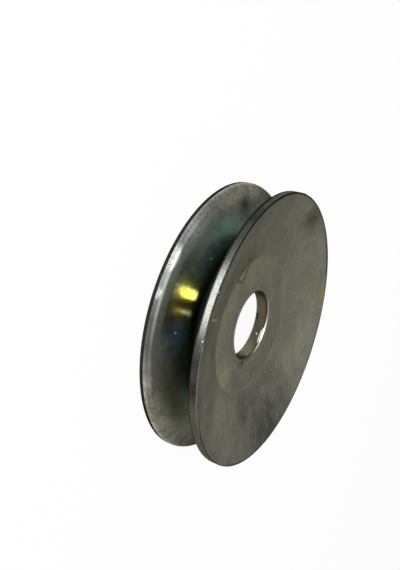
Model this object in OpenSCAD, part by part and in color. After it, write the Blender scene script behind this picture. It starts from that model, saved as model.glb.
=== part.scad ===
// Single-groove alternator pulley, spun in one piece from a round steel blank.
// The edge of the blank is split and rolled out into two dished flanges, and the
// space between them is the V groove for a 10 mm belt. The axis is Z, and the
// origin is the centre of the bore, in the belt's centre plane.

/* [Flanges] */
// Outside diameter of both flanges
outer_d = 68; // [60:0.5:80]
// Width over both flanges, along the axis
overall_w = 14.6; // [13:0.1:18]
// Thickness of a flange, square to its flank
flange_t = 2; // [1.6:0.05:2.4]

/* [Groove] */
// Angle between the two flanks of the groove, in degrees
groove_angle = 38; // [34:1:40]
// Radius at the root of the groove
root_r = 1.2; // [0.6:0.1:2]

/* [Hub] */
// Thickness of the flat hub, which is that of the blank
hub_t = 3.4; // [2.8:0.1:4]
// Radius of the bend from the hub's face into the flange
bend_r = 3; // [1:0.5:8]

/* [Bore] */
// Diameter of the alternator shaft
shaft_d = 17; // [14:0.5:20]
// Bore diameter less shaft diameter
shaft_clearance = 0.05; // [0.02:0.01:0.1]
// Rolled edge that the punch left at the front mouth of the bore
mouth_r = 0.6; // [0.3:0.05:0.9]
// Broken edge at the rear mouth of the bore
rear_mouth_r = 0.25; // [0.1:0.05:0.5]

/* [Pressed ring] */
// Distance from the bore's rolled edge to the ring that the punch's stripper left
ring_gap = 0.5; // [0.3:0.1:2]
// Width of the ring
ring_w = 0.4; // [0.2:0.05:0.8]
// Depth of the ring
ring_depth = 0.08; // [0.03:0.01:0.2]

/* [Rims] */
// Rounding of the front rim's corner on the groove side, left almost square
front_lip_r = 0.3; // [0.2:0.05:0.8]
// Rounding of the rear rim's corner on the groove side, rolled over
rear_lip_r = 1.5; // [0.8:0.05:1.8]
// Rounding of a rim's corner on the outer face
edge_r = 0.2; // [0.1:0.05:0.4]

/* [Hidden] */

// Segments of a small rounding, and of the long bend
ROUND_STEPS = 8;
BEND_STEPS = 10;
// Facets of a full turn
TURN_STEPS = 180;

flank = groove_angle / 2;
outer_r = outer_d / 2;
bore_r = (shaft_d + shaft_clearance) / 2;
hub_z = hub_t / 2;

// Height of the sharp corner that the rim's rounding is cut from
corner_z = overall_w / 2 + edge_r * (tan(flank) + 1 / cos(flank) - 1);

// Where the flange's face and flank lines stand at radius r, above the centre plane
function face_z(r) = corner_z - (outer_r - r) * tan(flank);
function flank_z(r) = face_z(r) - flange_t / cos(flank);

// Points of an arc about a centre, from one angle to another
function arc(centre, r, from, to, steps) = [
    for (i = [0:steps])
        let (a = from + (to - from) * i / steps)
        centre + r * [cos(a), sin(a)]
];

// The same points on the other side of the centre plane, in reverse order
function mirrored(points) = [
    for (i = [len(points) - 1:-1:0]) [points[i][0], -points[i][1]]
];

// Centre of the bend: it touches the hub's face and the flange's face
bend_meet_r = outer_r - (corner_z - hub_z) / tan(flank);
bend_centre = [bend_meet_r - bend_r * tan(flank / 2), hub_z + bend_r];

// Centres of the rim's roundings on its two sides, and of the groove's root
edge_centre = [outer_r - edge_r, face_z(outer_r - edge_r) - edge_r / cos(flank)];
function lip_centre(lip_r) = [outer_r - lip_r, flank_z(outer_r - lip_r) + lip_r / cos(flank)];
flank_meet_r = outer_r - flank_z(outer_r) / tan(flank);
root_centre = [flank_meet_r + root_r / sin(flank), 0];

// Outline of a flange, from the hub's face round the rim to the groove's root
function flange_outline(lip_r) = concat(
    arc(bend_centre, bend_r, -90, flank - 90, BEND_STEPS),
    arc(edge_centre, edge_r, 90 + flank, 0, ROUND_STEPS),
    arc(lip_centre(lip_r), lip_r, 0, flank - 90, ROUND_STEPS),
    arc(root_centre, root_r, 90 + flank, 180, ROUND_STEPS)
);

// Mouths of the bore, each from the bore's wall to the face of the hub
front_mouth = arc([bore_r + mouth_r, hub_z - mouth_r], mouth_r, 180, 90, ROUND_STEPS);
rear_mouth = arc(
    [bore_r + rear_mouth_r, hub_z - rear_mouth_r], rear_mouth_r, 180, 90, ROUND_STEPS
);

// The pressed ring round the front mouth, a shallow V in the hub's face
ring_start = bore_r + mouth_r + ring_gap;
pressed_ring = [
    [ring_start, hub_z],
    [ring_start + ring_w / 2, hub_z - ring_depth],
    [ring_start + ring_w, hub_z]
];

// The root's lowest point ends the front outline and starts the rear one, so it is kept once
front_outline = flange_outline(front_lip_r);
whole_rear = mirrored(flange_outline(rear_lip_r));
rear_outline = [for (i = [1:len(whole_rear) - 1]) whole_rear[i]];

module section() {
    polygon(concat(front_mouth, pressed_ring, front_outline, rear_outline, mirrored(rear_mouth)));
}

module pulley() {
    color([0.48, 0.48, 0.43])
        rotate_extrude($fn = TURN_STEPS) section();
}

pulley();
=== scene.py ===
import math

import bpy
from mathutils import Matrix, Vector


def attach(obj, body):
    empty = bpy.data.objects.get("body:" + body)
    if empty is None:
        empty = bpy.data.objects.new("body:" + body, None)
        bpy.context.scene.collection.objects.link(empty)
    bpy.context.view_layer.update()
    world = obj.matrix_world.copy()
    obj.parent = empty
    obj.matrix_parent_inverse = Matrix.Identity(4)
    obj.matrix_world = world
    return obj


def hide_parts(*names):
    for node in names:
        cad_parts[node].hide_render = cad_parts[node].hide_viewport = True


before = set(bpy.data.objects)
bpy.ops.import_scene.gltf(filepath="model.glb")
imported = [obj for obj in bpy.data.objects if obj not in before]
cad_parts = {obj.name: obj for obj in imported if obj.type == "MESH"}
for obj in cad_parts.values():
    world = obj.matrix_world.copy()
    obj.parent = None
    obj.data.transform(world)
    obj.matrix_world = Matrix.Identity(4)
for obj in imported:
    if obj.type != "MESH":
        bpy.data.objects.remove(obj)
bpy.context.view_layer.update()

MM = 0.001

# Sizes of the pulley in millimetres, as in the part's source
OUTER_R = 34.0
HALF_W = 7.3
FLANGE_T = 2.0
FLANK = math.radians(19)
ROOT_R = 1.2
HUB_Z = 1.7
BEND_R = 3.0
BORE_R = 8.525
MOUTH_R = 0.6
REAR_MOUTH_R = 0.25
RING_GAP = 0.5
RING_W = 0.4
RING_DEPTH = 0.08
FRONT_LIP_R = 0.3
REAR_LIP_R = 1.5
EDGE_R = 0.2

# Facets of a full turn, and the longest step along the section in millimetres
TURN_STEPS = 360
LONGEST_STEP = 0.8

# Steps of the section's roundings
BEND_STEPS = 12
EDGE_STEPS = 8
LIP_STEPS = 16
ROOT_STEPS = 10
MOUTH_STEPS = 10
REAR_MOUTH_STEPS = 6

# Zones of the section, each with its own finish
FACE, RIM, GROOVE, BORE = range(4)

# The photograph's view: the axis and the bore's centre as the camera sees them,
# with X to the right, Y up and Z towards the viewer, in millimetres
AXIS_IN_VIEW = Vector((0.84283, -0.24187, 0.48078)).normalized()
CENTRE_IN_VIEW = Vector((11.46, -9.52, -158.881))
LENS_MM = 40.38

# Share of the floor's white that the shadow doesn't darken, and the level of the surroundings
FLOOR_GLOW = 0.94
WORLD_LEVEL = 0.3

# Distance of the lamps from the pulley, and half the floor's width, in metres
LAMP_DISTANCE = 0.6
FLOOR_HALF = 3.0

# A patch's clouds, and where it is full and gone, as shares of its radius
PATCH_CLOUD = 0.5
PATCH_FULL = 0.3
PATCH_GONE = 1.5


# Section

CORNER_Z = HALF_W + EDGE_R * (math.tan(FLANK) + 1 / math.cos(FLANK) - 1)


def face_z(r):
    """Height of the flange's outer face at a radius."""
    return CORNER_Z - (OUTER_R - r) * math.tan(FLANK)


def flank_z(r):
    """Height of the groove's flank at a radius."""
    return face_z(r) - FLANGE_T / math.cos(FLANK)


ROOT_CENTRE_R = OUTER_R - flank_z(OUTER_R) / math.tan(FLANK) + ROOT_R / math.sin(FLANK)


def lip_z(lip_r):
    """Height of the centre of a rim's rounding on the groove side."""
    return flank_z(OUTER_R - lip_r) + lip_r / math.cos(FLANK)


def arc(centre, radius, start, end, steps):
    """Points of an arc about a centre, with angles in degrees."""
    points = []
    for i in range(steps + 1):
        angle = math.radians(start + (end - start) * i / steps)
        points.append((centre[0] + radius * math.cos(angle), centre[1] + radius * math.sin(angle)))
    return points


def flange_outline(lip_r):
    """Points from the hub's face round the rim to the groove's root."""
    flank = math.degrees(FLANK)
    meet_r = OUTER_R - (CORNER_Z - HUB_Z) / math.tan(FLANK)
    bend_centre = (meet_r - BEND_R * math.tan(FLANK / 2), HUB_Z + BEND_R)
    edge_centre = (OUTER_R - EDGE_R, face_z(OUTER_R - EDGE_R) - EDGE_R / math.cos(FLANK))
    return (
        arc(bend_centre, BEND_R, -90, flank - 90, BEND_STEPS)
        + arc(edge_centre, EDGE_R, 90 + flank, 0, EDGE_STEPS)
        + arc((OUTER_R - lip_r, lip_z(lip_r)), lip_r, 0, flank - 90, LIP_STEPS)
        + arc((ROOT_CENTRE_R, 0.0), ROOT_R, 90 + flank, 180, ROOT_STEPS)
    )


def section():
    """The closed section as points of radius and height."""
    front_centre = (BORE_R + MOUTH_R, HUB_Z - MOUTH_R)
    front_mouth = arc(front_centre, MOUTH_R, 180, 90, MOUTH_STEPS)
    rear_centre = (BORE_R + REAR_MOUTH_R, HUB_Z - REAR_MOUTH_R)
    rear_mouth = arc(rear_centre, REAR_MOUTH_R, 180, 90, REAR_MOUTH_STEPS)
    ring = BORE_R + MOUTH_R + RING_GAP
    pressed_ring = [(ring, HUB_Z), (ring + RING_W / 2, HUB_Z - RING_DEPTH), (ring + RING_W, HUB_Z)]
    front = flange_outline(FRONT_LIP_R)
    rear = [(r, -z) for r, z in reversed(flange_outline(REAR_LIP_R))][1:]
    return front_mouth + pressed_ring + front + rear + [(r, -z) for r, z in reversed(rear_mouth)]


def zone_of(r, z):
    """The zone of a stretch of the section, from its middle."""
    height = abs(z)
    mouth, lip_r = (MOUTH_R, FRONT_LIP_R) if z > 0 else (REAR_MOUTH_R, REAR_LIP_R)
    if r < BORE_R + mouth and height < HUB_Z:
        return BORE
    if r > OUTER_R - EDGE_R and height > lip_z(lip_r):
        return RIM
    if r > ROOT_CENTRE_R - ROOT_R and height < face_z(r) - FLANGE_T / 2:
        return GROOVE
    return FACE


def subdivided(points):
    """The section with long straight stretches cut into short steps."""
    result = []
    for (r, z), (next_r, next_z) in zip(points, points[1:] + points[:1]):
        steps = max(1, math.ceil(math.hypot(next_r - r, next_z - z) / LONGEST_STEP))
        for k in range(steps):
            result.append((r + (next_r - r) * k / steps, z + (next_z - z) * k / steps))
    return result


def turned_mesh(name, points):
    """A mesh of the section turned round Z, with the zone as each face's material."""
    rows = len(points)
    verts = []
    for i in range(TURN_STEPS):
        angle = 2 * math.pi * i / TURN_STEPS
        c, s = math.cos(angle), math.sin(angle)
        verts += [(r * c * MM, r * s * MM, z * MM) for r, z in points]
    after = [(k + 1) % rows for k in range(rows)]
    zones = []
    for k in range(rows):
        (r, z), (next_r, next_z) = points[k], points[after[k]]
        zones.append(zone_of((r + next_r) / 2, (z + next_z) / 2))
    faces = []
    for i in range(TURN_STEPS):
        here, there = i * rows, (i + 1) % TURN_STEPS * rows
        faces += [(here + k, here + after[k], there + after[k], there + k) for k in range(rows)]
    mesh = bpy.data.meshes.new(name)
    mesh.from_pydata(verts, [], faces)
    mesh.polygons.foreach_set("material_index", zones * TURN_STEPS)
    mesh.polygons.foreach_set("use_smooth", [True] * len(faces))
    mesh.update()
    return mesh


# Material nodes

def new_material(name):
    material = bpy.data.materials.new(name)
    material.use_nodes = True
    return material, material.node_tree, material.node_tree.nodes["Principled BSDF"]


def wire(tree, source, target):
    tree.links.new(source, target)


def math_node(tree, operation, a, b=None):
    node = tree.nodes.new("ShaderNodeMath")
    node.operation = operation
    for socket, value in zip(node.inputs, (a, b)):
        if isinstance(value, (int, float)):
            socket.default_value = value
        elif value is not None:
            wire(tree, value, socket)
    return node.outputs[0]


def position(tree):
    """The point on the pulley in its own frame, in millimetres."""
    coords = tree.nodes.new("ShaderNodeTexCoord")
    scale = tree.nodes.new("ShaderNodeVectorMath")
    scale.operation = "SCALE"
    scale.inputs["Scale"].default_value = 1 / MM
    wire(tree, coords.outputs["Object"], scale.inputs[0])
    return scale.outputs[0]


def stretched(tree, point, x, y, z):
    """The point with each coordinate scaled, for grain that runs one way."""
    node = tree.nodes.new("ShaderNodeVectorMath")
    node.operation = "MULTIPLY"
    node.inputs[1].default_value = (x, y, z)
    wire(tree, point, node.inputs[0])
    return node.outputs[0]


def noise(tree, point, size, detail=4.0, roughness=0.55, seed=0.0):
    """Noise with features of that size in millimetres, from 0 to 1."""
    node = tree.nodes.new("ShaderNodeTexNoise")
    node.noise_dimensions = "4D"
    node.inputs["W"].default_value = seed
    node.inputs["Scale"].default_value = 1 / size
    node.inputs["Detail"].default_value = detail
    node.inputs["Roughness"].default_value = roughness
    wire(tree, point, node.inputs["Vector"])
    return node.outputs["Fac"]


def window(tree, value, low, high, out_low=0.0, out_high=1.0):
    """The value eased from one range to another and held at its ends."""
    node = tree.nodes.new("ShaderNodeMapRange")
    node.interpolation_type = "SMOOTHSTEP"
    node.inputs["From Min"].default_value = low
    node.inputs["From Max"].default_value = high
    node.inputs["To Min"].default_value = out_low
    node.inputs["To Max"].default_value = out_high
    wire(tree, value, node.inputs["Value"])
    return node.outputs["Result"]


def fading(tree, value, low, high, strength=1.0):
    """That strength below a value, eased to nothing above another."""
    return window(tree, value, low, high, strength, 0.0)


def product(tree, first, *others):
    """The product of several shares."""
    result = first
    for other in others:
        result = math_node(tree, "MULTIPLY", result, other)
    return result


def weighed(tree, first, first_share, second, second_share):
    """The sum of two values, each by its share."""
    first_part = math_node(tree, "MULTIPLY", first, first_share)
    second_part = math_node(tree, "MULTIPLY", second, second_share)
    return math_node(tree, "ADD", first_part, second_part)


def mixed(tree, share, first, second):
    """Two colours mixed by a share, each a socket or a plain colour."""
    node = tree.nodes.new("ShaderNodeMix")
    node.data_type = "RGBA"
    wire(tree, share, node.inputs["Factor"])
    for socket, value in zip([s for s in node.inputs if s.type == "RGBA"], (first, second)):
        if isinstance(value, tuple):
            socket.default_value = (*value, 1.0)
        else:
            wire(tree, value, socket)
    return [s for s in node.outputs if s.type == "RGBA"][0]


def patch(tree, point, centre, radius, strength=1.0):
    """A cloudy stain round a place in millimetres, strongest there and gone at about its radius."""
    clouds = noise(tree, point, radius * PATCH_CLOUD, seed=radius)
    ragged = math_node(tree, "MULTIPLY", clouds, radius)
    distance = tree.nodes.new("ShaderNodeVectorMath")
    distance.operation = "DISTANCE"
    distance.inputs[1].default_value = centre
    wire(tree, point, distance.inputs[0])
    reach = math_node(tree, "ADD", distance.outputs["Value"], ragged)
    return fading(tree, reach, radius * PATCH_FULL, radius * PATCH_GONE, strength)


def mark(tree, point, centre, reach):
    """Distance from a place, as a share of a mark's reach along X, Y and Z in millimetres."""
    shift = tree.nodes.new("ShaderNodeVectorMath")
    shift.operation = "SUBTRACT"
    shift.inputs[1].default_value = centre
    wire(tree, point, shift.inputs[0])
    length = tree.nodes.new("ShaderNodeVectorMath")
    length.operation = "LENGTH"
    wire(tree, stretched(tree, shift.outputs[0], *(1 / r for r in reach)), length.inputs[0])
    return length.outputs["Value"]


def spot(tree, point, centre, reach, full, gone, strength=1.0):
    """A plain spot round a place, full and gone at those shares of its reach."""
    return fading(tree, mark(tree, point, centre, reach), full, gone, strength)


def radius_of(tree, point):
    """Distance from the axis in millimetres."""
    flat = stretched(tree, point, 1.0, 1.0, 0.0)
    length = tree.nodes.new("ShaderNodeVectorMath")
    length.operation = "LENGTH"
    wire(tree, flat, length.inputs[0])
    return length.outputs["Value"]


def along(tree, point, axis):
    """The point's coordinate along X, Y or Z in millimetres."""
    parts = tree.nodes.new("ShaderNodeSeparateXYZ")
    wire(tree, point, parts.inputs[0])
    return parts.outputs[axis]


def bumped(tree, shader, height, depth):
    """Fine relief of that depth in millimetres."""
    node = tree.nodes.new("ShaderNodeBump")
    node.inputs["Strength"].default_value = 1.0
    node.inputs["Distance"].default_value = depth * MM
    wire(tree, height, node.inputs["Height"])
    wire(tree, node.outputs["Normal"], shader.inputs["Normal"])


# Finishes: places and lengths in millimetres, colours as linear red, green and blue

# The first colour is for painted shade along the rim's corners
SHADE_BLACK = (0.02, 0.02, 0.018)
DULL_RIM = (0.03, 0.03, 0.026)
DUST = (0.95, 0.95, 0.9)


def painted_corner_shade(tree, point):
    """1 where painted shade darkens the corner between face and rim, less at one stretch lower down where
    the corner is shown lit.
    """
    lit_stretch = spot(tree, point, (29.5, -13.0, 7.2), (13.0, 13.0, 13.0), 0.5, 1.0, 0.85)
    return math_node(tree, "SUBTRACT", 1.0, lit_stretch)


def on_hub(tree, radius):
    """1 on the flat hub, eased to 0 over the bend."""
    return fading(tree, radius, 17.5, 18.3)


def face_clouds(tree, point):
    """Cloudy zinc with brown and blue-grey places."""
    clouds = window(tree, noise(tree, point, 9.0, detail=6.0, seed=1.0), 0.35, 0.65)
    colour = mixed(tree, clouds, (0.265, 0.265, 0.205), (0.335, 0.335, 0.265))
    brown = window(tree, noise(tree, point, 7.0, detail=5.0, seed=2.0), 0.46, 0.72, 0.0, 0.55)
    colour = mixed(tree, brown, colour, (0.265, 0.21, 0.135))
    blue = window(tree, noise(tree, point, 8.0, detail=5.0, seed=3.0), 0.5, 0.74, 0.0, 0.8)
    return mixed(tree, blue, colour, (0.18, 0.20, 0.195))


def hub_tint_and_cone_shade(tree, point, radius, colour):
    """A yellowish ring on one side of the hub, and painted shade over the far side of the cone."""
    across = along(tree, point, "Y")
    hub_ring = window(tree, radius, 12.0, 17.5, 0.0, 0.55)
    hub = product(tree, hub_ring, on_hub(tree, radius), fading(tree, across, -13.0, -3.0))
    colour = mixed(tree, hub, colour, (0.38, 0.355, 0.22))
    # Painted shade over the cone on the far side, less towards the top
    cone_start = window(tree, radius, 17.2, 18.3)
    cone_end = fading(tree, radius, 19.0, 28.0, 0.5)
    far_side = window(tree, across, -2.0, 6.0)
    lower = window(tree, along(tree, point, "X"), -16.0, -7.0, 0.35, 1.0)
    cone = product(tree, cone_start, cone_end, far_side, lower)
    return mixed(tree, cone, colour, (0.13, 0.13, 0.105))


def face_stains(tree, point, radius, colour):
    """Grey, pale and olive stains, the last one on the hub alone."""
    grey = patch(tree, point, (26.0, 19.0, 6.9), 21.0)
    colour = mixed(tree, grey, colour, (0.06, 0.065, 0.065))
    pale_low = patch(tree, point, (21.5, -10.0, 3.9), 14.0, 0.8)
    colour = mixed(tree, pale_low, colour, (0.47, 0.46, 0.375))
    pale_high = patch(tree, point, (-26.5, -4.0, 5.0), 22.0, 0.7)
    colour = mixed(tree, pale_high, colour, (0.36, 0.355, 0.28))
    olive = product(tree, patch(tree, point, (13.5, -9.0, 1.7), 8.0, 0.7), on_hub(tree, radius))
    return mixed(tree, olive, colour, (0.50, 0.45, 0.30))


def face_tints(tree, point, colour):
    """Small warm and cool tints, drawn out along X, and a brown stain near the rim."""
    drawn = stretched(tree, point, 0.65, 1.0, 1.0)
    warm = window(tree, noise(tree, drawn, 3.0, detail=5.0, seed=16.0), 0.48, 0.7, 0.0, 0.42)
    colour = mixed(tree, warm, colour, (0.30, 0.245, 0.155))
    cool = window(tree, noise(tree, drawn, 3.0, detail=5.0, seed=17.0), 0.48, 0.7, 0.0, 0.42)
    colour = mixed(tree, cool, colour, (0.215, 0.24, 0.24))
    brown = patch(tree, point, (-30.2, 7.5, 6.4), 7.0, 0.85)
    return mixed(tree, brown, colour, (0.10, 0.08, 0.05))


def face_border(tree, point, radius, colour):
    """An orange place by the rim, and painted shade along the border of the face, near black on the upper
    far side.
    """
    orange = product(tree, patch(tree, point, (-13.5, 30.0, 6.9), 8.0), window(tree, radius, 31.4, 32.6))
    colour = mixed(tree, orange, colour, (0.46, 0.30, 0.13))
    # Painted shade: a dark line along the face's border
    border = product(tree, window(tree, radius, 33.3, 33.7, 0.0, 0.85), painted_corner_shade(tree, point))
    colour = mixed(tree, border, colour, (0.05, 0.05, 0.042))
    # Painted shade: a near-black edge on the upper far side
    black = product(tree, patch(tree, point, (-23.0, 24.5, 7.0), 16.0), window(tree, radius, 33.0, 33.4))
    return mixed(tree, black, colour, (0.004, 0.004, 0.004))


def face_speckle(tree, point):
    """Mill streaks along X and fine grain, as one value."""
    streaks = noise(tree, stretched(tree, point, 0.12, 1.0, 1.0), 0.6, detail=6.0, roughness=0.7)
    grain = noise(tree, point, 0.45, detail=4.0, roughness=0.75)
    return weighed(tree, streaks, 0.35, grain, 0.65)


def face_marks(tree, point, colour):
    """A light scratch, the outline of a dried drip and a smudge beside the bore."""
    scratch = spot(tree, point, (0.2, -27.5, 5.0), (0.35, 5.5, 5.5), 0.6, 1.0, 0.95)
    colour = mixed(tree, scratch, colour, (0.52, 0.50, 0.42))
    ragged = noise(tree, point, 2.0, detail=3.0, seed=14.0)
    drip = math_node(tree, "ADD", mark(tree, point, (-12.0, -13.5, 1.7), (3.6, 2.2, 2.4)), ragged)
    uneven = window(tree, noise(tree, point, 1.6, seed=15.0), 0.32, 0.52, 0.2, 0.85)
    outline = product(tree, window(tree, drip, 1.22, 1.38), fading(tree, drip, 1.42, 1.58), uneven)
    colour = mixed(tree, outline, colour, (0.08, 0.07, 0.045))
    smudge = patch(tree, point, (9.9, 0.3, 1.7), 2.4, 0.9)
    return mixed(tree, smudge, colour, (0.10, 0.10, 0.08))


def face_finish():
    """Matt passivated zinc on the dished faces, with cloudy stains and mill streaks."""
    material, tree, shader = new_material("zinc_face")
    point = position(tree)
    radius = radius_of(tree, point)
    colour = face_clouds(tree, point)
    colour = hub_tint_and_cone_shade(tree, point, radius, colour)
    colour = face_stains(tree, point, radius, colour)
    colour = face_tints(tree, point, colour)
    colour = face_border(tree, point, radius, colour)
    speckle = face_speckle(tree, point)
    colour = mixed(tree, window(tree, speckle, 0.5, 0.65, 0.0, 0.5), colour, (0.42, 0.41, 0.33))
    colour = mixed(tree, fading(tree, speckle, 0.36, 0.5, 0.5), colour, (0.14, 0.135, 0.105))
    colour = face_marks(tree, point, colour)
    wire(tree, colour, shader.inputs["Base Color"])
    wire(tree, window(tree, speckle, 0.3, 0.7, 0.42, 0.55), shader.inputs["Roughness"])
    shader.inputs["Metallic"].default_value = 1.0
    shader.inputs["Specular Tint"].default_value = (0.45, 0.45, 0.42, 1.0)
    bumped(tree, shader, speckle, 0.012)
    return material


def rim_tones(tree, point):
    """Dull zinc round the rim, paler in places and darker towards the low end, with a painted highlight
    over a stretch.
    """
    dull = window(tree, noise(tree, point, 6.0, seed=5.0), 0.35, 0.65)
    colour = mixed(tree, dull, DULL_RIM, (0.07, 0.07, 0.061))
    near_side = patch(tree, point, (-7.0, -33.0, 6.3), 20.0)
    colour = mixed(tree, near_side, colour, (0.19, 0.195, 0.17))
    high_end = patch(tree, point, (-30.0, -13.0, 6.3), 16.0)
    colour = mixed(tree, high_end, colour, (0.22, 0.22, 0.18))
    low_end = window(tree, along(tree, point, "X"), 15.0, 20.0)
    colour = mixed(tree, low_end, colour, (0.115, 0.11, 0.082))
    foot = window(tree, along(tree, point, "X"), 22.0, 29.0)
    colour = mixed(tree, foot, colour, (0.18, 0.175, 0.14))
    # Painted highlight over a stretch of the rim
    painted_highlight = spot(tree, point, (-4.0, -33.7, 6.3), (10.0, 10.0, 10.0), 0.2, 1.0, 0.95)
    return mixed(tree, painted_highlight, colour, (0.97, 0.98, 0.92))


def rim_corners(tree, point, height, colour):
    """Painted shade along the front rim's two corners, with a painted highlight on one of them in a place,
    and a darker rear rim.
    """
    # Painted shade along the inner corner on the upper part
    upper = fading(tree, along(tree, point, "X"), 2.0, 8.0)
    inner = product(tree, fading(tree, height, 5.65, 5.95, 0.95), upper)
    colour = mixed(tree, inner, colour, SHADE_BLACK)
    front = window(tree, height, -1.0, 1.0)
    colour = mixed(tree, front, DULL_RIM, colour)
    # Painted shade along the outer corner
    corner = product(tree, window(tree, height, 7.08, 7.16), painted_corner_shade(tree, point))
    colour = mixed(tree, corner, colour, SHADE_BLACK)
    # Painted highlight along the outer corner in one stretch
    lit_stretch = product(tree, corner, patch(tree, point, (17.0, -29.0, 7.2), 18.0))
    return mixed(tree, lit_stretch, colour, (0.5, 0.5, 0.46))


def painted_rim_glints(tree, point, height):
    """Painted glints in two places along the front rim's outer corner."""
    glint_grain = window(tree, noise(tree, point, 0.5, detail=2.0, seed=18.0), 0.56, 0.64)
    high_place = patch(tree, point, (-9.5, -32.6, 7.0), 9.0)
    low_place = patch(tree, point, (4.9, -33.65, 7.0), 2.8)
    places = math_node(tree, "MAXIMUM", high_place, low_place)
    return product(tree, glint_grain, places, window(tree, height, 6.5, 6.8))


def rim_finish():
    """Dull grainy zinc on the edges of the flanges, with a painted highlight over a stretch, painted shade
    along the front rim's corners and painted glints.
    """
    material, tree, shader = new_material("zinc_rim")
    point = position(tree)
    height = along(tree, point, "Z")
    colour = rim_corners(tree, point, height, rim_tones(tree, point))
    grain = noise(tree, point, 0.35, detail=4.0, roughness=0.75, seed=6.0)
    colour = mixed(tree, window(tree, grain, 0.5, 0.62, 0.0, 0.5), colour, (0.10, 0.10, 0.09))
    # Painted glints along the front rim's outer corner
    colour = mixed(tree, painted_rim_glints(tree, point, height), colour, (1.0, 1.0, 0.95))
    wire(tree, colour, shader.inputs["Base Color"])
    wire(tree, window(tree, grain, 0.3, 0.7, 0.3, 0.5), shader.inputs["Roughness"])
    shader.inputs["Metallic"].default_value = 1.0
    shader.inputs["Specular Tint"].default_value = (0.3, 0.3, 0.27, 1.0)
    bumped(tree, shader, grain, 0.02)
    return material


def groove_film(tree, point, radius):
    """The groove's film: teal, blue and brown places, painted shade towards the root and a yellow place."""
    film = window(tree, noise(tree, point, 8.0, seed=7.0), 0.35, 0.65)
    colour = mixed(tree, film, (0.33, 0.36, 0.29), (0.39, 0.40, 0.32))
    teal = patch(tree, point, (-20.0, -20.0, 0.0), 23.0)
    colour = mixed(tree, teal, colour, (0.36, 0.48, 0.47))
    clear_teal = patch(tree, point, (-11.0, -25.0, 0.0), 15.0)
    colour = mixed(tree, clear_teal, colour, (0.46, 0.55, 0.51))
    brown = patch(tree, point, (21.0, -18.5, -3.0), 19.0)
    colour = mixed(tree, brown, colour, (0.14, 0.142, 0.108))
    blue = patch(tree, point, (6.5, -26.5, -3.0), 9.0)
    colour = mixed(tree, blue, colour, (0.41, 0.55, 0.72))
    # Painted shade towards the groove's root
    colour = mixed(tree, fading(tree, radius, 22.5, 27.0, 0.9), colour, (0.24, 0.32, 0.28))
    yellow = patch(tree, point, (-3.6, -27.4, -3.0), 10.0)
    colour = mixed(tree, yellow, colour, (0.68, 0.60, 0.24))
    amber = patch(tree, point, (0.8, -28.5, -3.4), 4.0)
    return mixed(tree, amber, colour, (0.62, 0.52, 0.22))


def groove_lip(tree, point, radius, lip, colour):
    """Dull zinc towards the rims, pale at the two ends and mottled."""
    colour = mixed(tree, lip, colour, (0.165, 0.175, 0.15))
    pale_top = product(tree, patch(tree, point, (-28.0, -13.0, -4.5), 22.0), lip)
    colour = mixed(tree, pale_top, colour, (0.74, 0.73, 0.60))
    tan = patch(tree, point, (-28.8, -15.5, -4.8), 9.0, 0.4)
    colour = mixed(tree, tan, colour, (0.52, 0.45, 0.30))
    dark = patch(tree, point, (-27.0, -11.2, -3.6), 4.0)
    colour = mixed(tree, dark, colour, (0.06, 0.07, 0.10))
    pale_low = product(tree, patch(tree, point, (25.5, -17.5, -4.7), 25.0), lip)
    colour = mixed(tree, pale_low, colour, (0.62, 0.61, 0.48))
    pale_foot = patch(tree, point, (29.0, -10.5, -4.3), 11.0, 0.6)
    colour = mixed(tree, pale_foot, colour, (0.62, 0.61, 0.50))
    worn_low = product(tree, patch(tree, point, (18.0, -28.8, -5.8), 9.0), window(tree, radius, 32.4, 33.2))
    colour = mixed(tree, worn_low, colour, (0.62, 0.60, 0.49))
    mottle = window(tree, noise(tree, point, 2.5, detail=6.0, seed=8.0), 0.45, 0.65, 0.0, 0.5)
    return mixed(tree, mottle, colour, (0.22, 0.22, 0.18))


def painted_lip_highlights(tree, point):
    """Two painted highlights on the rear flange's lip."""
    long_place = spot(tree, point, (-10.3, -32.4, -5.8), (4.0, 2.5, 1.3), 0.4, 1.1)
    short_place = spot(tree, point, (-2.0, -33.9, -6.0), (1.6, 1.6, 0.8), 0.4, 1.1, 0.8)
    return math_node(tree, "MAXIMUM", long_place, short_place)


def groove_sheen(tree, point, lip, colour):
    """Painted sheen along the rear flange's lip, with painted highlights in two places."""
    sheen = product(tree, patch(tree, point, (-8.0, -32.3, -5.0), 14.0), lip)
    colour = mixed(tree, sheen, colour, (0.22, 0.24, 0.225))
    outer_lip = fading(tree, along(tree, point, "Z"), -5.9, -5.2)
    lit = product(tree, patch(tree, point, (-8.0, -32.8, -5.8), 14.0), outer_lip)
    colour = mixed(tree, lit, colour, (0.55, 0.59, 0.56))
    high_sheen = product(tree, patch(tree, point, (-18.0, -28.3, -5.3), 9.0), lip)
    colour = mixed(tree, high_sheen, colour, (0.5, 0.53, 0.5))
    return mixed(tree, painted_lip_highlights(tree, point), colour, (0.97, 0.96, 0.88))


def groove_dust(tree, point):
    """Two specks of dust on the rear flank."""
    low_speck = mark(tree, point, (5.3, -27.3, -3.1), (0.25, 0.25, 0.25))
    high_speck = mark(tree, point, (-12.2, -22.4, -2.3), (0.17, 0.17, 0.17))
    return fading(tree, math_node(tree, "MINIMUM", low_speck, high_speck), 0.6, 1.0)


def groove_relief(tree, point, radius):
    """Fine rings round the axis and grain, as one height about zero."""
    rings = tree.nodes.new("ShaderNodeTexNoise")
    rings.noise_dimensions = "1D"
    rings.inputs["Scale"].default_value = 6.0
    rings.inputs["Detail"].default_value = 4.0
    wire(tree, radius, rings.inputs["W"])
    grain = noise(tree, point, 0.4, detail=4.0, roughness=0.7, seed=11.0)
    return math_node(tree, "SUBTRACT", weighed(tree, rings.outputs["Fac"], 0.4, grain, 0.6), 0.5)


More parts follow.
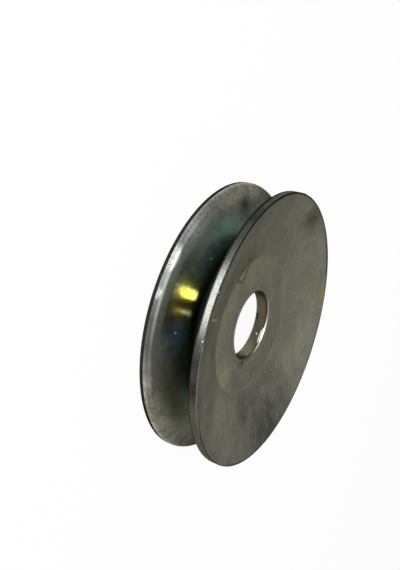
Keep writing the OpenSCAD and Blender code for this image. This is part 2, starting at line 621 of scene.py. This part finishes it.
def groove_dullness(tree, point, radius):
    """1 less the burnish, which is strongest round the yellow place and ends below the lip."""
    around = spot(tree, point, (-2.0, -27.5, 0.0), (10.0, 9.0, 9.0), 0.3, 1.5, 0.7)
    burnished = product(tree, around, fading(tree, radius, 30.8, 32.3))
    return math_node(tree, "SUBTRACT", 1.0, burnished)


def groove_finish():
    """Roller-burnished groove: glossy, with fine rings and a film that runs from teal to yellow."""
    material, tree, shader = new_material("zinc_groove")
    point = position(tree)
    radius = radius_of(tree, point)
    lip = window(tree, radius, 28.0, 32.4)
    colour = groove_film(tree, point, radius)
    colour = groove_lip(tree, point, radius, lip, colour)
    colour = groove_sheen(tree, point, lip, colour)
    # Painted shade at the bottom of the groove's root
    colour = mixed(tree, fading(tree, radius, 22.4, 23.5, 0.9), colour, (0.08, 0.10, 0.088))
    # Painted shade along the front flange's lip, whose reflection is dimmed below as well
    front = window(tree, along(tree, point, "Z"), 4.0, 5.0)
    edge = product(tree, window(tree, radius, 32.3, 33.4), front)
    colour = mixed(tree, edge, colour, (0.02, 0.021, 0.018))
    dust = groove_dust(tree, point)
    colour = mixed(tree, dust, colour, DUST)
    grit = window(tree, noise(tree, point, 0.5, detail=3.0, roughness=0.7, seed=13.0), 0.52, 0.62, 0.0, 0.6)
    colour = mixed(tree, product(tree, grit, lip), colour, (0.11, 0.115, 0.10))
    dullness = groove_dullness(tree, point, radius)
    roughness = product(tree, window(tree, radius, 24.0, 32.5, 0.23, 0.5), dullness)
    # The painted shade on the front lip also dims its reflection
    edge_tint = mixed(tree, edge, (0.4, 0.4, 0.37), (0.02, 0.02, 0.02))
    wire(tree, colour, shader.inputs["Base Color"])
    wire(tree, roughness, shader.inputs["Roughness"])
    wire(tree, math_node(tree, "SUBTRACT", 1.0, dust), shader.inputs["Metallic"])
    wire(tree, edge_tint, shader.inputs["Specular Tint"])
    bumped(tree, shader, product(tree, groove_relief(tree, point, radius), dullness), 0.006)
    return material


def bore_wall(tree, point, shear):
    """The brownish wall, dark at one end and lighter at the other, with shear marks."""
    film = window(tree, noise(tree, point, 3.0, seed=9.0), 0.4, 0.65)
    colour = mixed(tree, film, (0.10, 0.093, 0.072), (0.145, 0.127, 0.076))
    dark_end = patch(tree, point, (-7.6, 3.8, 0.0), 4.0)
    colour = mixed(tree, dark_end, colour, (0.075, 0.073, 0.056))
    light_end = patch(tree, point, (7.0, 5.0, -0.3), 5.0)
    colour = mixed(tree, light_end, colour, (0.25, 0.23, 0.15))
    brown = patch(tree, point, (-4.2, 7.4, 0.1), 3.0)
    colour = mixed(tree, brown, colour, (0.14, 0.115, 0.07))
    return mixed(tree, window(tree, shear, 0.5, 0.75, 0.0, 0.35), colour, (0.11, 0.10, 0.09))


def bore_edge(tree, point, rolled, colour):
    """The rolled edge pale as a painted highlight, with painted shade at both ends and on the near side,
    and a painted highlight at the low end.
    """
    # Painted highlight: the rolled edge made pale
    colour = mixed(tree, rolled, colour, (0.66, 0.63, 0.49))
    high_end = fading(tree, along(tree, point, "X"), -8.0, -6.0, 0.5)
    near_side = fading(tree, along(tree, point, "Y"), -4.0, -1.0, 0.8)
    foot = window(tree, along(tree, point, "X"), 5.0, 7.5, 0.0, 0.75)
    # Painted shade on the rolled edge at both ends and on the near side
    dark = math_node(tree, "MAXIMUM", math_node(tree, "MAXIMUM", high_end, near_side), foot)
    colour = mixed(tree, product(tree, rolled, dark), colour, (0.04, 0.038, 0.03))
    # Painted highlight by the low end of the edge
    low_end = spot(tree, point, (7.3, 4.4, 1.1), (2.2, 2.2, 0.7), 0.5, 1.0, 0.9)
    return mixed(tree, low_end, colour, (0.27, 0.265, 0.2))


def bore_glint(tree, point):
    """A broken painted highlight along the rolled edge."""
    broken = math_node(tree, "MULTIPLY", noise(tree, point, 0.7, detail=2.0, seed=19.0), 1.2)
    reach = mark(tree, point, (2.2, 8.3, 1.25), (2.7, 2.7, 0.6))
    return fading(tree, math_node(tree, "ADD", reach, broken), 1.2, 1.45)


def bore_marks(tree, point, colour):
    """Two dark pits and a speck of dust on the wall."""
    left_pit = mark(tree, point, (-2.74, 8.07, -1.15), (0.45, 0.45, 0.35))
    right_pit = mark(tree, point, (-1.92, 8.31, -1.06), (0.4, 0.4, 0.3))
    pits = fading(tree, math_node(tree, "MINIMUM", left_pit, right_pit), 0.6, 1.0)
    colour = mixed(tree, pits, colour, (0.005, 0.005, 0.004))
    speck = spot(tree, point, (2.08, 8.27, 0.0), (0.28, 0.28, 0.25), 0.6, 1.0)
    return mixed(tree, speck, colour, DUST)


def bore_finish():
    """Sheared wall of the bore, brownish with a yellow film, and its rolled edge."""
    material, tree, shader = new_material("zinc_bore")
    point = position(tree)
    shear = noise(tree, stretched(tree, point, 1.0, 1.0, 0.3), 0.4, detail=4.0, seed=10.0)
    rolled = window(tree, radius_of(tree, point), BORE_R + 0.05, BORE_R + 0.3)
    # Painted highlight on the rolled edge round one place
    painted_highlight = product(tree, rolled, patch(tree, point, (3.0, 8.5, 1.5), 7.0))
    colour = bore_wall(tree, point, shear)
    colour = bore_edge(tree, point, rolled, colour)
    colour = mixed(tree, painted_highlight, colour, (0.95, 0.95, 0.88))
    colour = mixed(tree, bore_glint(tree, point), colour, (0.97, 0.97, 0.92))
    colour = bore_marks(tree, point, colour)
    sheared = window(tree, shear, 0.3, 0.7, 0.3, 0.45)
    roughness = math_node(tree, "ADD", sheared, math_node(tree, "MULTIPLY", painted_highlight, 0.15))
    wire(tree, colour, shader.inputs["Base Color"])
    wire(tree, roughness, shader.inputs["Roughness"])
    shader.inputs["Metallic"].default_value = 1.0
    shader.inputs["Specular Tint"].default_value = (0.3, 0.29, 0.23, 1.0)
    bumped(tree, shader, shear, 0.015)
    return material


def add_pulley():
    mesh = turned_mesh("pulley_turned", subdivided(section()))
    for finish in (face_finish(), rim_finish(), groove_finish(), bore_finish()):
        mesh.materials.append(finish)
    pulley = bpy.data.objects.new("pulley_turned", mesh)
    bpy.context.scene.collection.objects.link(pulley)
    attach(pulley, "root")
    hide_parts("pulley")


# Studio

def seen_directly(tree):
    """1 where the camera, a reflection or a clear material looks at the surface."""
    path = tree.nodes.new("ShaderNodeLightPath")
    either = math_node(tree, "MAXIMUM", path.outputs["Is Camera Ray"], path.outputs["Is Glossy Ray"])
    return math_node(tree, "MAXIMUM", either, path.outputs["Is Transmission Ray"])


def floor_finish():
    """A pale floor that looks white and still shows a light shadow."""
    material, tree, shader = new_material("pale_floor")
    shader.inputs["Base Color"].default_value = (0.93, 0.93, 0.93, 1.0)
    shader.inputs["Roughness"].default_value = 0.9
    shader.inputs["Specular IOR Level"].default_value = 0.0
    glow = tree.nodes.new("ShaderNodeEmission")
    glow.inputs["Strength"].default_value = 1.0
    blend = tree.nodes.new("ShaderNodeMixShader")
    wire(tree, math_node(tree, "MULTIPLY", seen_directly(tree), FLOOR_GLOW), blend.inputs["Fac"])
    wire(tree, shader.outputs["BSDF"], blend.inputs[1])
    wire(tree, glow.outputs["Emission"], blend.inputs[2])
    wire(tree, blend.outputs["Shader"], tree.nodes["Material Output"].inputs["Surface"])
    return material


def add_floor():
    """A wide pale floor under the rear rim."""
    height = -HALF_W * MM
    corners = [
        (-FLOOR_HALF, -FLOOR_HALF, height),
        (FLOOR_HALF, -FLOOR_HALF, height),
        (FLOOR_HALF, FLOOR_HALF, height),
        (-FLOOR_HALF, FLOOR_HALF, height),
    ]
    mesh = bpy.data.meshes.new("floor")
    mesh.from_pydata(corners, [], [(0, 1, 2, 3)])
    mesh.materials.append(floor_finish())
    floor = bpy.data.objects.new("floor", mesh)
    bpy.context.scene.collection.objects.link(floor)


def add_lamp(name, bearing, height, wide, tall, power):
    """A soft lamp aimed at the pulley, placed by its angles in degrees."""
    around, up = math.radians(bearing), math.radians(height)
    direction = (math.cos(up) * math.cos(around), math.cos(up) * math.sin(around), math.sin(up))
    place = Vector(direction) * LAMP_DISTANCE
    data = bpy.data.lights.new(name, "AREA")
    data.shape = "RECTANGLE"
    data.size = wide
    data.size_y = tall
    data.energy = power
    lamp = bpy.data.objects.new(name, data)
    lamp.location = place
    lamp.rotation_euler = (-place).to_track_quat("-Z", "Y").to_euler()
    bpy.context.scene.collection.objects.link(lamp)


def add_world():
    world = bpy.data.worlds.new("studio")
    world.use_nodes = True
    background = world.node_tree.nodes["Background"]
    background.inputs["Color"].default_value = (1.0, 1.0, 1.0, 1.0)
    background.inputs["Strength"].default_value = WORLD_LEVEL
    bpy.context.scene.world = world


def add_camera():
    """The photograph's view, with the camera turned about its own axis as the photograph is."""
    toward_viewer = Vector((0.0, 0.0, 1.0))
    away = -(toward_viewer - AXIS_IN_VIEW * AXIS_IN_VIEW.dot(toward_viewer)).normalized()
    side = away.cross(AXIS_IN_VIEW)
    turn = Matrix((side, away, AXIS_IN_VIEW))
    data = bpy.data.cameras.new("photo_view")
    data.lens = LENS_MM
    data.sensor_fit = "AUTO"
    data.clip_start = 0.01
    camera = bpy.data.objects.new("photo_view", data)
    camera.matrix_world = Matrix.Translation(turn @ -CENTRE_IN_VIEW * MM) @ turn.to_4x4()
    bpy.context.scene.collection.objects.link(camera)
    bpy.context.scene.camera = camera


add_pulley()
add_floor()
add_world()
add_camera()

# Each lamp's bearing and height in degrees, width and length in metres, and power in watts
add_lamp("key", -100, 62, 0.25, 0.25, 2.2)
add_lamp("bulb", -107, 36, 0.09, 0.05, 0.42)
add_lamp("small_bulb", -83, 35, 0.03, 0.04, 0.03)
add_lamp("top", 115, 81, 0.06, 0.06, 0.2)
add_lamp("back", 88, 42, 0.3, 0.3, 0.1)

bpy.context.scene.view_settings.view_transform = "Standard"
